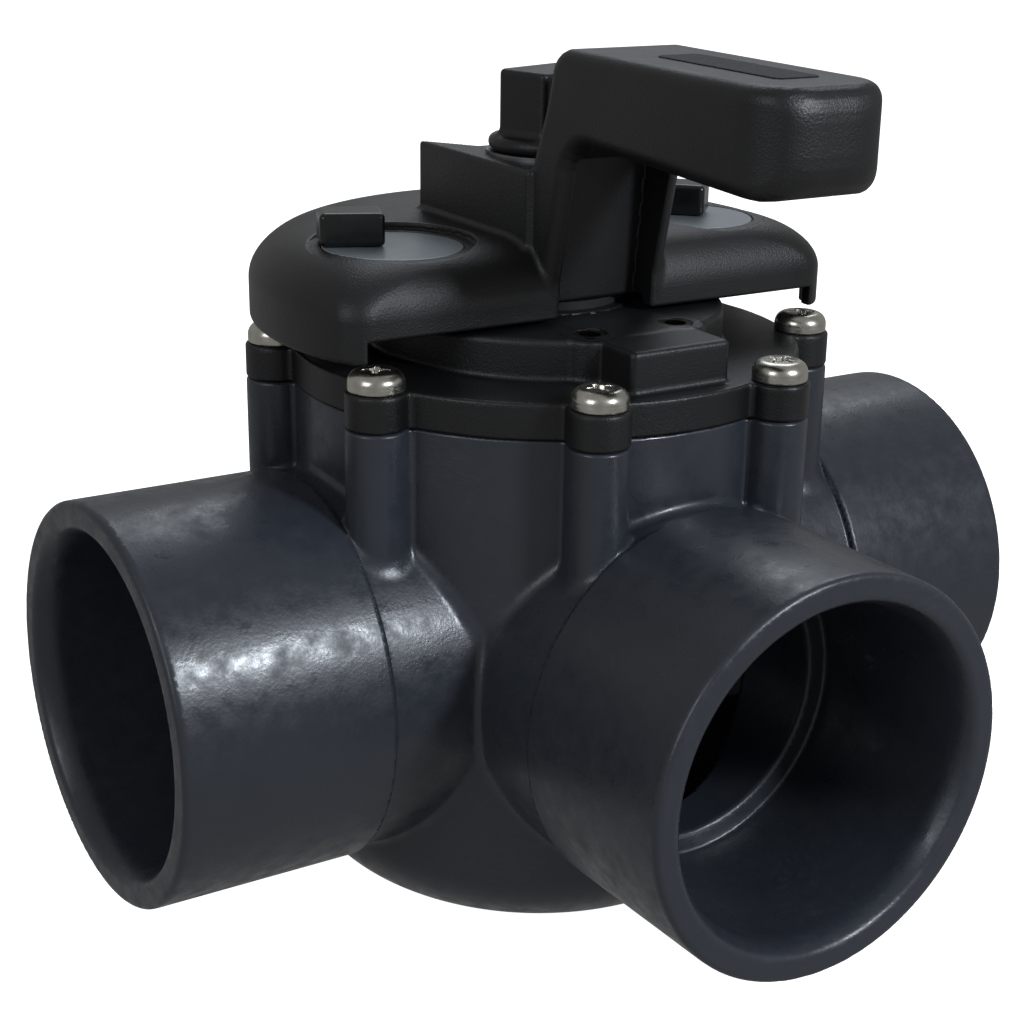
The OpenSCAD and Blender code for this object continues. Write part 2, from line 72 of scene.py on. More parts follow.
# ---------------------------------------------------------------------------
# Studio: a glowing white table in a dim white tent, one small soft light in front
# on the right, and weaker broad ones on the left and behind.
# ---------------------------------------------------------------------------
def linear(hex_colour, alpha=1.0):
    """The linear colour of an sRGB hex value."""
    parts = [int(hex_colour[i:i + 2], 16) / 255 for i in (1, 3, 5)]
    return [p / 12.92 if p <= 0.04045 else ((p + 0.055) / 1.055) ** 2.4 for p in parts] + [alpha]


def add_node(tree, kind, settings=(), links=()):
    """One node with its settings by name or number, and its links as (input, other node's output)."""
    node = tree.nodes.new(kind)
    for name, value in dict(settings).items():
        if isinstance(name, int) or name in node.inputs:
            node.inputs[name].default_value = value
        else:
            setattr(node, name, value)
    for name, output in dict(links).items():
        tree.links.new(output, node.inputs[name])
    return node


def new_material(name, roughness, metallic=0.0):
    """A node material, with its tree and its Principled shader."""
    material = bpy.data.materials.new(name)
    material.use_nodes = True
    shader = material.node_tree.nodes["Principled BSDF"]
    shader.inputs["Roughness"].default_value = roughness
    shader.inputs["Metallic"].default_value = metallic
    return material, material.node_tree, shader


def textured_material(name, roughness, metallic, kind, texture, dark, light, relief):
    """A material whose tone and relief follow one texture. Relief is a strength and a height in
    metres. The texture's output comes too, for what else follows it."""
    material, tree, shader = new_material(name, roughness, metallic)
    place = add_node(tree, "ShaderNodeTexCoord").outputs["Object"]
    pattern = add_node(tree, kind, texture, {"Vector": place}).outputs
    level = pattern["Distance"] if kind == "ShaderNodeTexVoronoi" else pattern["Fac"]
    tone = add_node(tree, "ShaderNodeMix", {"data_type": "RGBA", 6: linear(dark), 7: linear(light)},
                    {0: level})
    bump = add_node(tree, "ShaderNodeBump", {"Strength": relief[0], "Distance": relief[1]},
                    {"Height": level})
    tree.links.new(tone.outputs[2], shader.inputs["Base Color"])
    tree.links.new(bump.outputs["Normal"], shader.inputs["Normal"])
    return material, tree, shader, level


world = bpy.data.worlds.new("white_tent")
world.use_nodes = True
tent = world.node_tree
tent_light = tent.nodes["Background"]
tent_light.inputs["Color"].default_value = linear("#ffffff")
tent_light.inputs["Strength"].default_value = 0.28
tent_seen = add_node(tent, "ShaderNodeBackground", {"Color": linear("#ffffff"), "Strength": 1.0})
tent_ray = add_node(tent, "ShaderNodeLightPath")
tent_mix = add_node(tent, "ShaderNodeMixShader", {}, {0: tent_ray.outputs["Is Camera Ray"],
                                                      1: tent_light.outputs[0], 2: tent_seen.outputs[0]})
tent.links.new(tent_mix.outputs[0], tent.nodes["World Output"].inputs[0])
bpy.context.scene.world = world
bpy.context.scene.view_settings.view_transform = "Standard"


def soft_light(name, place, size, power):
    """A square area light that looks at the valve's middle."""
    data = bpy.data.lights.new(name, "AREA")
    data.shape = "SQUARE"
    data.size = size
    data.energy = power
    data.color = linear("#eef6ff")[:3]
    light = bpy.data.objects.new(name, data)
    light.location = place
    light.rotation_euler = (Vector((0, 0, 0.08)) - Vector(place)).to_track_quat("-Z", "Y").to_euler()
    bpy.context.collection.objects.link(light)


soft_light("key_light", (0.2, -0.6, 0.42), 0.09, 3.2)
soft_light("left_light", (-0.8, -0.3, 0.5), 0.4, 1.6)
soft_light("back_light", (0.5, 0.6, 0.9), 0.6, 2.6)

table_mesh = bpy.data.meshes.new("table")
table_mesh.from_pydata([(-4, -4, 0), (4, -4, 0), (4, 4, 0), (-4, 4, 0)], [], [(0, 1, 2, 3)])
table = bpy.data.objects.new("table", table_mesh)
table.visible_diffuse = False
table.visible_glossy = False
lit_acrylic, _, acrylic = new_material("lit_white_acrylic", 0.6)
acrylic.inputs["Base Color"].default_value = linear("#fafafa")
acrylic.inputs["Emission Color"].default_value = linear("#ffffff")
acrylic.inputs["Emission Strength"].default_value = 1.0
table_mesh.materials.append(lit_acrylic)
bpy.context.collection.objects.link(table)


# ---------------------------------------------------------------------------
# Body: one injection moulding in dark grey PVC, a bowl with three socket ports,
# eight screw columns and an open top. The cover closes it.
# ---------------------------------------------------------------------------
def join(a, b, radius):
    """Two signed distances as one solid, with a fillet of that radius."""
    corner = np.hypot(np.maximum(radius - a, 0), np.maximum(radius - b, 0))
    return np.maximum(radius, np.minimum(a, b)) - corner


def common(a, b, radius):
    """What two solids share, with its edge rounded to that radius."""
    corner = np.hypot(np.maximum(radius + a, 0), np.maximum(radius + b, 0))
    return np.minimum(-radius, np.maximum(a, b)) + corner


def cut(a, b, radius):
    """The first solid without the second, with the edge rounded to that radius."""
    return common(a, -b, radius)


def between(value, low, high):
    """Signed distance to a slab between two planes."""
    return np.maximum(low - value, value - high)


def elliptic(out, up, out_axis, up_axis):
    """About the signed distance to an elliptic corner with these half axes."""
    k0 = np.hypot(out / out_axis, up / up_axis)
    k1 = np.hypot(out / out_axis ** 2, up / up_axis ** 2)
    return np.where(k0 > 0.3, k0 * (k0 - 1) / np.maximum(k1, 1e-6), -0.7 * min(out_axis, up_axis))


def surface_net(values):
    """Points, in cells, and quads of the surface where a grid of values changes sign."""
    inside = values < 0
    counts = np.zeros([n - 1 for n in inside.shape], np.int8)
    corners = [(a, b, c) for a in (0, 1) for b in (0, 1) for c in (0, 1)]
    nx, ny, nz = counts.shape
    for a, b, c in corners:
        counts += inside[a:a + nx, b:b + ny, c:c + nz]
    cells = np.argwhere((counts > 0) & (counts < 8))
    number = np.full(counts.shape, -1, np.int32)
    number[tuple(cells.T)] = np.arange(len(cells))
    total = np.zeros((len(cells), 3))
    crossings = np.zeros(len(cells))
    for axis in range(3):
        for start in corners:
            if start[axis]:
                continue
            end = list(start)
            end[axis] = 1
            va = values[tuple((cells + start).T)]
            vb = values[tuple((cells + end).T)]
            hit = (va < 0) != (vb < 0)
            place = np.tile(np.array(start, float), (len(cells), 1))
            place[:, axis] = va / np.where(hit, va - vb, 1)
            total[hit] += place[hit]
            crossings += hit
    quads = []
    for axis in range(3):
        b, c = (axis + 1) % 3, (axis + 2) % 3
        first = np.take(inside, range(inside.shape[axis] - 1), axis)
        second = np.take(inside, range(1, inside.shape[axis]), axis)
        for solid_first in (True, False):
            edges = np.argwhere((first & ~second) if solid_first else (second & ~first))
            edges = edges[(edges[:, b] > 0) & (edges[:, c] > 0)]
            edges = edges[(edges[:, b] < counts.shape[b]) & (edges[:, c] < counts.shape[c])]
            ring = []
            for db, dc in ((-1, -1), (0, -1), (0, 0), (-1, 0)):
                cell = edges.copy()
                cell[:, b] += db
                cell[:, c] += dc
                ring.append(number[tuple(cell.T)])
            quads.append(np.stack(ring if solid_first else ring[::-1], 1))
    return cells + total / crossings[:, None], np.concatenate(quads)


def mould(name, field, low, high, step, material):
    """A smooth piece where a field of millimetres, negative in the solid, crosses zero."""
    low = np.array(low, float) - 1.5 * step
    counts = np.ceil((np.array(high) + 1.5 * step - low) / step).astype(int) + 1
    x, y, z = [low[i] + step * np.arange(counts[i]) for i in range(3)]
    values = field(x[:, None, None], y[None, :, None], z[None, None, :])
    points, quads = surface_net(np.broadcast_to(values, counts).astype(np.float32))
    points = low + step * points
    small = 0.02
    for turn in range(3):
        slope = np.stack([(field(*(points + small * d).T) - field(*(points - small * d).T)) / (2 * small)
                          for d in np.eye(3)], 1)
        size = np.maximum(np.linalg.norm(slope, axis=1), 0.2)
        if turn < 2:
            shift = np.clip(field(*points.T) / size, -step / 2, step / 2)
            points -= slope * (shift / size)[:, None]
    mesh = bpy.data.meshes.new(name)
    mesh.from_pydata((points * MM).tolist(), [], quads.tolist())
    mesh.polygons.foreach_set("use_smooth", np.ones(len(quads), bool))
    mesh.normals_split_custom_set_from_vertices((slope / size[:, None]).tolist())
    mesh.materials.append(material)
    piece = bpy.data.objects.new(name, mesh)
    bpy.context.collection.objects.link(piece)
    return piece


SCREWS = 8
BODY_R = 47.5  # All in millimetres
BODY_TOP = 101.5
PORT_Z = 52
SHOULDER = 52.13
COLUMN_CIRCLE = 50.4
COLUMN_R = 5.5
COLUMN_LOW = 71
RUN_REACH = 91.63
BRANCH_REACH = 90.13
NECK_R = 35.3
SPIGOT_R = 36.5
WATERWAY_R = 26
SOCKET_R = 30.2
SOCKET_DEPTH = 38
CHAMBER_R = 42


def screw_distance(x, y):
    """Distance from the nearest of the eight screws, seen from above."""
    sector = 2 * np.pi / SCREWS
    turn = np.mod(np.arctan2(y, x), sector) - sector / 2
    reach = np.hypot(x, y)
    return np.hypot(reach * np.cos(turn) - COLUMN_CIRCLE, reach * np.sin(turn))


def port_outside(along, across, z, reach):
    """Neck, shoulder and spigot of a port that runs along one axis."""
    around = np.hypot(across, z - PORT_Z)
    neck = common(around - NECK_R, between(along, 0, SHOULDER + 3), 0.1)
    spigot = common(around - SPIGOT_R, along - reach, 1.1)
    return neck, common(spigot, SHOULDER - along, 0.7)


def port_inside(along, across, z, reach):
    """Waterway, socket and flared mouth of the same port."""
    around = np.hypot(across, z - PORT_Z)
    flare = 1.8 * np.clip((along - reach + 5) / 5, 0, 1) ** 2
    waterway = np.maximum(around - WATERWAY_R, -along)
    socket = common(around - SOCKET_R - flare, reach - SOCKET_DEPTH - along, 0.8)
    return join(waterway, socket, 1.0)


def body_field(x, y, z):
    out = np.hypot(x, y)
    bowl = elliptic(out, np.minimum(z - 18, 0), BODY_R, 21.5)
    columns = common(screw_distance(x, y) - COLUMN_R, COLUMN_LOW - z, 4)
    solid = join(bowl, columns, 1.3)
    run_neck, run_spigot = port_outside(np.abs(x), y, z, RUN_REACH)
    branch_neck, branch_spigot = port_outside(-y, x, z, BRANCH_REACH)
    solid = join(solid, join(run_neck, branch_neck, 1.5), 1.6)
    solid = join(solid, np.minimum(run_spigot, branch_spigot), 0.5)
    solid = common(solid, np.maximum(z - BODY_TOP, -z), 0.6)
    chamber = np.maximum(elliptic(out, np.minimum(z - 20, 0), CHAMBER_R, 15), 8 - z)
    pockets = np.minimum(np.maximum(out - 44.6, 98.8 - z), np.maximum(out - 10, 3 - z))
    ways = np.minimum(port_inside(np.abs(x), y, z, RUN_REACH), port_inside(-y, x, z, BRANCH_REACH))
    return cut(solid, np.minimum(join(ways, chamber, 0.6), pockets), 0.8)


# Rigid PVC, dark grey with a blue cast, from a polished mould: a satin gloss over a
# faint ripple where the melt cooled, broken by rubbed patches and fine scratches.
grey_pvc, pvc_tree, pvc = new_material("moulded_grey_pvc", 0.3)
pvc.inputs["IOR"].default_value = 1.53
pvc_place = add_node(pvc_tree, "ShaderNodeTexCoord").outputs["Object"]
# Cloudy tone in patches about 30 mm across
pvc_cloud = add_node(pvc_tree, "ShaderNodeTexNoise", {"Scale": 30.0, "Detail": 5.0}, {"Vector": pvc_place})
pvc_tone = add_node(pvc_tree, "ShaderNodeMix", {"data_type": "RGBA", 6: linear("#26292f"),
                                                7: linear("#30343c")}, {0: pvc_cloud.outputs["Fac"]})
# Scratches 0.3 mm wide and about 4 mm long, only where a 25 mm patch was rubbed
pvc_stretch = add_node(pvc_tree, "ShaderNodeMapping", {"Scale": (250.0, 700.0, 3000.0),
                                                       "Rotation": (0.3, 0.2, 0.5)}, {"Vector": pvc_place})
pvc_scratch = add_node(pvc_tree, "ShaderNodeTexNoise", {"Scale": 1.0, "Detail": 4.0},
                       {"Vector": pvc_stretch.outputs["Vector"]})
pvc_patch = add_node(pvc_tree, "ShaderNodeTexNoise", {"Scale": 40.0, "Detail": 2.0}, {"Vector": pvc_place})
pvc_worn = add_node(pvc_tree, "ShaderNodeMath", {"operation": "MULTIPLY"},
                    {0: pvc_scratch.outputs["Fac"], 1: pvc_patch.outputs["Fac"]})
pvc_scuff = add_node(pvc_tree, "ShaderNodeMapRange", {"From Min": 0.34, "From Max": 0.5},
                     {"Value": pvc_worn.outputs[0]})
pvc_colour = add_node(pvc_tree, "ShaderNodeMix", {"data_type": "RGBA", 7: linear("#33383f")},
                      {0: pvc_scuff.outputs["Result"], 6: pvc_tone.outputs[2]})
# Gloss that changes in blotches about 4 mm across
pvc_blotch = add_node(pvc_tree, "ShaderNodeTexNoise", {"Scale": 260.0, "Detail": 4.0, "Roughness": 0.65},
                      {"Vector": pvc_place})
pvc_rough = add_node(pvc_tree, "ShaderNodeMapRange", {"From Min": 0.3, "From Max": 0.7, "To Min": 0.22,
                                                      "To Max": 0.48}, {"Value": pvc_blotch.outputs["Fac"]})
# Mould ripple with a wavelength near 6 mm, and a fine 0.5 mm skin on top
pvc_ripple = add_node(pvc_tree, "ShaderNodeTexNoise", {"Scale": 160.0, "Detail": 1.0}, {"Vector": pvc_place})
pvc_skin = add_node(pvc_tree, "ShaderNodeTexNoise", {"Scale": 1600.0, "Detail": 2.0}, {"Vector": pvc_place})
pvc_bump = add_node(pvc_tree, "ShaderNodeBump", {"Strength": 0.5, "Distance": 0.0001},
                    {"Height": pvc_ripple.outputs["Fac"]})
pvc_grain = add_node(pvc_tree, "ShaderNodeBump", {"Strength": 0.5, "Distance": 0.00006},
                     {"Height": pvc_skin.outputs["Fac"], "Normal": pvc_bump.outputs["Normal"]})
pvc_nick = add_node(pvc_tree, "ShaderNodeBump", {"Strength": 0.2, "Distance": 0.00004},
                    {"Height": pvc_scuff.outputs["Result"], "Normal": pvc_grain.outputs["Normal"]})
pvc_tree.links.new(pvc_colour.outputs[2], pvc.inputs["Base Color"])
pvc_tree.links.new(pvc_rough.outputs["Result"], pvc.inputs["Roughness"])
pvc_tree.links.new(pvc_nick.outputs["Normal"], pvc.inputs["Normal"])

body = mould("body_moulding", body_field, (-RUN_REACH, -BRANCH_REACH, 0), (RUN_REACH, 56, BODY_TOP), 0.8,
             grey_pvc)
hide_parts("valve_body")
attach(body, "body")


# ---------------------------------------------------------------------------
# Cover: a black glass filled moulding with eight lobes, a raised platform for the
# lever, a position lug at the front and four actuator posts. The screws hold it.
# ---------------------------------------------------------------------------
FLANGE_TOP = 108
PLATFORM_TOP = 115.5
POST_PLACE = (9.27, 28.53)


def cover_field(x, y, z):
    out = np.hypot(x, y)
    screws = screw_distance(x, y)
    flange = common(join(out - 48, screws - COLUMN_R, 1.2), between(z, BODY_TOP, FLANGE_TOP), 0.6)
    platform = common(out - 33.5, z - PLATFORM_TOP, 1.2)
    lug = common(common(np.abs(x) - 10.5, between(y, -43.5, -20), 1.2), z - PLATFORM_TOP, 0.9)
    posts = np.hypot(np.abs(x) - POST_PLACE[0], np.abs(y) - POST_PLACE[1])
    raised = join(join(platform, lug, 0.8), common(posts - 5.5, z - PLATFORM_TOP, 0.9), 0.6)
    solid = join(flange, np.maximum(raised, BODY_TOP + 1 - z), 0.9)
    lip = common(out - 41.8, between(z, 95.5, BODY_TOP + 1), 0.5)
    hollow = np.minimum(np.maximum(out - 37.8, z - BODY_TOP), np.maximum(out - 30, z - 111.5))
    solid = cut(np.minimum(solid, lip), hollow, 0.5)
    solid = np.minimum(solid, common(out - 16, between(z, 97, 116), 0.5))
    holes = np.minimum(np.maximum(screws - 2.8, 100 - z), np.maximum(posts - 3.05, 108.5 - z))
    return cut(cut(solid, holes, 0.2), out - 11, 0.3)


# Glass filled polypropylene, black, from a spark eroded mould: a matte face with a
# pebbled grain of about 0.35 mm that breaks each highlight into specks.
black_plastic, black_tree, black = new_material("grained_black_plastic", 0.5)
black.inputs["IOR"].default_value = 1.49
black_place = add_node(black_tree, "ShaderNodeTexCoord").outputs["Object"]
black_cloud = add_node(black_tree, "ShaderNodeTexNoise", {"Scale": 45.0, "Detail": 4.0},
                       {"Vector": black_place})
black_pebble = add_node(black_tree, "ShaderNodeTexNoise", {"Scale": 2600.0, "Detail": 2.0, "Roughness": 0.6},
                        {"Vector": black_place})
black_tone = add_node(black_tree, "ShaderNodeMix", {"data_type": "RGBA", 6: linear("#0b0b0c"),
                                                    7: linear("#141415")}, {0: black_cloud.outputs["Fac"]})
black_rough = add_node(black_tree, "ShaderNodeMapRange", {"From Min": 0.3, "From Max": 0.7, "To Min": 0.36,
                                                          "To Max": 0.5},
                       {"Value": black_cloud.outputs["Fac"]})
black_wave = add_node(black_tree, "ShaderNodeTexNoise", {"Scale": 120.0, "Detail": 1.0},
                      {"Vector": black_place})
black_sink = add_node(black_tree, "ShaderNodeBump", {"Strength": 0.4, "Distance": 0.00015},
                      {"Height": black_wave.outputs["Fac"]})
black_bump = add_node(black_tree, "ShaderNodeBump", {"Strength": 0.8, "Distance": 0.0001},
                      {"Height": black_pebble.outputs["Fac"], "Normal": black_sink.outputs["Normal"]})
black_tree.links.new(black_tone.outputs[2], black.inputs["Base Color"])
black_tree.links.new(black_rough.outputs["Result"], black.inputs["Roughness"])
black_tree.links.new(black_bump.outputs["Normal"], black.inputs["Normal"])

cover = mould("cover_moulding", cover_field, (-56, -56, 95.5), (56, 56, 116), 0.6, black_plastic)
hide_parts("cover")
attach(cover, "body")


# ---------------------------------------------------------------------------
# Cover screws: eight pan head machine screws, nickel plated steel, with a punched
# cross recess. They run into the brass sleeves of the screw columns.
# ---------------------------------------------------------------------------
HEAD_TOP = 111.7


def screw_field(x, y, z):
    out = np.hypot(x, y)
    deep = HEAD_TOP - z
    head = common(out - 5, between(z + 0.012 * out ** 2, FLANGE_TOP, HEAD_TOP), 1.9)
    head = np.minimum(head, common(out - 5, between(z, FLANGE_TOP, FLANGE_TOP + 1.6), 0.4))
    solid = np.minimum(head, common(out - 2.5, between(z, 88, FLANGE_TOP + 1), 0.4))
    wing = np.minimum(np.maximum(np.abs(x) - 2.5 + 0.55 * deep, np.abs(y) - 0.5),
                      np.maximum(np.abs(y) - 2.5 + 0.55 * deep, np.abs(x) - 0.5))
    heart = (np.abs(x) + np.abs(y)) * 0.707 - 1.25 + 0.3 * deep
    return cut(solid, np.maximum(np.minimum(wing, heart), deep - 2.2), 0.12)


# Bright nickel on steel: warm white metal, glossy, dulled in cloudy patches and a
# little pitted in the recess.
bright_nickel, nickel_tree, nickel, nickel_cloud = textured_material(
    "bright_nickel_plate", 0.24, 1.0, "ShaderNodeTexNoise", {"Scale": 500.0, "Detail": 3.0},
    "#aaa69b", "#dedad0", (0.3, 0.00005))
nickel_rough = add_node(nickel_tree, "ShaderNodeMapRange", {"To Min": 0.16, "To Max": 0.36},
                        {"Value": nickel_cloud})
nickel_tree.links.new(nickel_rough.outputs["Result"], nickel.inputs["Roughness"])

recess_turns = [20, 65, 40, 10, 75, 30, 55, 85]
for number in range(SCREWS):
    screw = mould(f"cover_screw_{number + 1}", screw_field, (-5, -5, 88), (5, 5, HEAD_TOP), 0.25,
                  bright_nickel)
    place = math.radians((number + 0.5) * 360 / SCREWS)
    spot = Vector((COLUMN_CIRCLE * math.sin(place), -COLUMN_CIRCLE * math.cos(place), 0)) * MM
    recess_turn = Matrix.Rotation(math.radians(recess_turns[number]), 4, "Z")
    screw.matrix_world = Matrix.Translation(spot) @ recess_turn
    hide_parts("cover_screws")
    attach(screw, "body")


# ---------------------------------------------------------------------------
# Lever: a black moulding that turns with the stem, a hollow dome with a flat front,
# a hub block, and a hollow riser that carries the grip. Each wing has a round well.
# ---------------------------------------------------------------------------
DOME_TOP = 130.5
SKIRT_LOW = 112.5
HUB_TOP = 142
GRIP_TOP = 163.5
GRIP_REACH = 81
WELL_X = 32.5
WELL_LOW = DOME_TOP - 2.5
WELL_R = 14.8
PLATE_R = 12.6
FRONT_LOW = 116.3  # Skirt's edge in the front opening and the side notch
DOME_SHOULDER = 119.5
TABS = ((-38.5, 4.5, math.radians(-22)), (33, 4, math.radians(-45)))


def arc(across, height, radius, start, end):
    """Points of a quarter arc in the lever's side view."""
    turns = np.radians(np.linspace(start, end, 7))
    return [(across + radius * math.cos(t), height + radius * math.sin(t)) for t in turns]


def outline_distance(outline, a, b):
    """Signed distance to a closed outline in a plane."""
    nearest = 1e9
    side = 1.0
    for (a0, b0), (a1, b1) in zip(outline, outline[1:] + outline[:1]):
        run, rise = a1 - a0, b1 - b0
        part = np.clip(((a - a0) * run + (b - b0) * rise) / (run ** 2 + rise ** 2), 0, 1)
        nearest = np.minimum(nearest, (a - a0 - part * run) ** 2 + (b - b0 - part * rise) ** 2)
        if rise:
            crosses = ((b0 <= b) != (b1 <= b)) & (a - a0 < run * (b - b0) / rise)
            side = np.where(crosses, -side, side)
    return side * np.sqrt(nearest)


side_view = [(-10, 118), (-13.6, 143.7), (-17.3, 153.1)]
side_view += arc(-23.8, 158.5, 5, 0, 90) + arc(-76, 158.5, 5, 90, 180) + arc(-74, 153, 7, 180, 270)
side_view += arc(-31, 141.5, 6.5, 90, 0) + [(-19.3, 118)]
channel_view = [(-13.5, 113), (-17, 143.7), (-19.5, 147), (-44.6, 147), (-44.6, 113)]


def dome_distance(x, y, z, inset):
    """Signed distance to the dome with its rounded front, shrunk by an inset."""
    rise = np.maximum(z - DOME_SHOULDER, 0)
    wing = elliptic(np.maximum(np.hypot(x, y) - 34.4, 0), rise, 20.5 - inset, 11 - inset)
    front = elliptic(np.maximum(-y - 8, 0), rise, 12 - inset, 11 - inset)
    return common(wing, front, 4 - inset)


def tab_place(x, y, tab):
    """Coordinates along and across a stop tab."""
    dx, dy = x - tab[0], y - tab[1]
    return dx * math.cos(tab[2]) + dy * math.sin(tab[2]), dy * math.cos(tab[2]) - dx * math.sin(tab[2])


def lever_field(x, y, z):
    out = np.hypot(x, y)
    wide = np.abs(x)
    dome = dome_distance(x, y, z, 0)
    shell = cut(common(dome, SKIRT_LOW - z, 0.8), dome_distance(x, y, z, 3), 0.4)
    well = np.hypot(wide - WELL_X, y)
    shell = np.minimum(shell, np.maximum(np.maximum(well - WELL_R - 3, WELL_LOW - 2.5 - z), dome))
    front_gap = np.maximum(np.maximum(wide - 48.1, between(y, -22, -16)), z - FRONT_LOW)
    side_gap = np.maximum(np.maximum(48.9 - x, between(y, -14, 8)), z - FRONT_LOW)
    shell = cut(shell, np.minimum(front_gap, side_gap), 0.6)
    hub = common(common(wide - 14, between(y, -15, 23.2), 0.7), between(z, 118, HUB_TOP), 0.7)
    notch = np.maximum((wide - 6.6 - 0.7 * (y - 13.4)) * 0.82, 13.4 - y)
    hub = cut(hub, np.maximum(notch, DOME_TOP - z), 0.5)
    end_out = np.hypot(np.maximum(wide - 2.5, 0), np.maximum(-y - GRIP_REACH + 10.5, 0)) - 10.5
    arm = common(outline_distance(side_view, y, z), end_out, 2.8)
    solid = join(join(shell, hub, 1.4), arm, 1.0)
    solid = cut(solid, np.maximum(outline_distance(channel_view, y, z), wide - 10), 0.7)
    wells = np.minimum(np.maximum(well - WELL_R, WELL_LOW - z),
                       np.maximum(well - PLATE_R - 0.1, WELL_LOW - 1 - z))
    solid = cut(solid, wells, 0.6)
    drive = np.maximum(np.maximum(wide - 7.6, out - 9.6), between(z, 117, HUB_TOP + 1))
    for tab in TABS:
        along, across = tab_place(x, y, tab)
        slot = np.maximum(np.abs(along) - 4.05, np.abs(across) - 2.55)
        drive = np.minimum(drive, np.maximum(slot, between(z, 120, DOME_TOP)))
    return np.maximum(solid, -drive)


lever = mould("lever_moulding", lever_field, (-55, -GRIP_REACH, SKIRT_LOW), (55, 55, GRIP_TOP), 0.5,
              black_plastic)
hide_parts("handle")
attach(lever, "rotor")


# ---------------------------------------------------------------------------
# Grip badge: a blank black strip pressed into the grip's top, coarser than the
# grip round it.
# ---------------------------------------------------------------------------
def badge_field(x, y, z):
    strip = common(np.abs(x) - 4.5, between(y, -70, -38), 1.5)
    return common(strip, between(z, GRIP_TOP - 0.6, GRIP_TOP + 0.24), 0.25)


# Black polycarbonate label with a coarse 0.8 mm stipple, duller than the grip
stipple, _, stippled, _ = textured_material(
    "stippled_black_label", 0.6, 0.0, "ShaderNodeTexVoronoi", {"Scale": 1200.0},
    "#0a0a0b", "#1c1d1f", (0.7, 0.0002))
stippled.inputs["Specular IOR Level"].default_value = 0.2

badge = mould("grip_label", badge_field, (-4.5, -70, GRIP_TOP - 0.6), (4.5, -38, GRIP_TOP + 0.24), 0.25,
              stipple)
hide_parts("grip_badge")
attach(badge, "rotor")


# ---------------------------------------------------------------------------
# Dial plates: a thin blank disc glued to the floor of each well. The stop tab's
# peg goes through it.
# ---------------------------------------------------------------------------
def plate_field(x, y, z):
    """Both plates at once, each in its well."""
    well = np.hypot(np.abs(x) - WELL_X, y)
    disc = common(well - PLATE_R, between(z, WELL_LOW - 1, WELL_LOW - 0.05), 0.2)
    for tab in TABS:
        along, across = tab_place(x, y, tab)
        slot = np.maximum(np.abs(along) - 4.1, np.abs(across) - 2.6)
        disc = np.maximum(disc, -slot)
    return disc


# Grey lacquered aluminium label, rolled: a cool grey satin face with a fine grain
# along the sheet.
label_metal, label_tree, label = new_material("lacquered_aluminium_label", 0.35, 0.4)
label_place = add_node(label_tree, "ShaderNodeTexCoord").outputs["Object"]
label_stretch = add_node(label_tree, "ShaderNodeMapping", {"Scale": (200.0, 3000.0, 200.0)},
                         {"Vector": label_place})
label_roll = add_node(label_tree, "ShaderNodeTexNoise", {"Scale": 1.0, "Detail": 3.0},
                      {"Vector": label_stretch.outputs["Vector"]})
label_tone = add_node(label_tree, "ShaderNodeMix", {"data_type": "RGBA", 6: linear("#747a80"),
                                                    7: linear("#959ca3")}, {0: label_roll.outputs["Fac"]})
label_bump = add_node(label_tree, "ShaderNodeBump", {"Strength": 0.2, "Distance": 0.00003},
                      {"Height": label_roll.outputs["Fac"]})
label_tree.links.new(label_tone.outputs[2], label.inputs["Base Color"])
label_tree.links.new(label_bump.outputs["Normal"], label.inputs["Normal"])

for side, node in ((-1, "indicator_plate_left"), (1, "indicator_plate_right")):
    plate = mould("dial_plate_" + node.split("_")[-1], plate_field,
                  (side * WELL_X - PLATE_R, -PLATE_R, WELL_LOW - 1),
                  (side * WELL_X + PLATE_R, PLATE_R, WELL_LOW - 0.05), 0.3, label_metal)
    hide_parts(node)
    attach(plate, "rotor")


# ---------------------------------------------------------------------------
# Stop tabs: a glossy black block in each well that lifts out on a barbed peg, so
# that the lever's stops can be set.
# ---------------------------------------------------------------------------
def tab_field(x, y, z):
    wide, deep = np.abs(x), np.abs(y)
    block = common(common(wide - 5.75, deep - 4, 1.0), between(z, WELL_LOW + 0.05, DOME_TOP + 3.5), 1.0)
    peg = common(np.maximum(wide - 4, deep - 2.5), between(z, 117, DOME_TOP), 0.3)
    barb = np.maximum(np.maximum(wide - 4.8 + np.maximum(117.6 - z, 0), deep - 2.5), between(z, 117, 118.5))
    return np.minimum(np.minimum(block, peg), barb)


# Black acetal from a polished mould: smooth and glossy, with soft flow marks
gloss_black, gloss_tree, gloss, gloss_flow = textured_material(
    "glossy_black_acetal", 0.2, 0.0, "ShaderNodeTexNoise", {"Scale": 220.0, "Detail": 3.0},
    "#0b0b0c", "#161718", (0.3, 0.0001))
gloss_rough = add_node(gloss_tree, "ShaderNodeMapRange", {"To Min": 0.14, "To Max": 0.32},
                       {"Value": gloss_flow})
gloss_tree.links.new(gloss_rough.outputs["Result"], gloss.inputs["Roughness"])

for tab, hand in zip(TABS, ("left", "right")):
    block = mould("stop_block_" + hand, tab_field, (-5.75, -4, 117), (5.75, 4, DOME_TOP + 3.5), 0.35,
                  gloss_black)
    spot = Vector((tab[0], tab[1], 0)) * MM
    block.matrix_world = Matrix.Translation(spot) @ Matrix.Rotation(tab[2], 4, "Z")
    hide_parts("stop_tab_" + hand)
    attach(block, "tab_" + hand)


# ---------------------------------------------------------------------------
# Lock knob: a black moulding round a brass sleeve, a rounded grip block on a round
# foot. It screws down on the stud and clamps the lever.
# ---------------------------------------------------------------------------
KNOB_LOW = 142.8
KNOB_TOP = KNOB_LOW + 14.5
KNOB_TURN = math.radians(17)


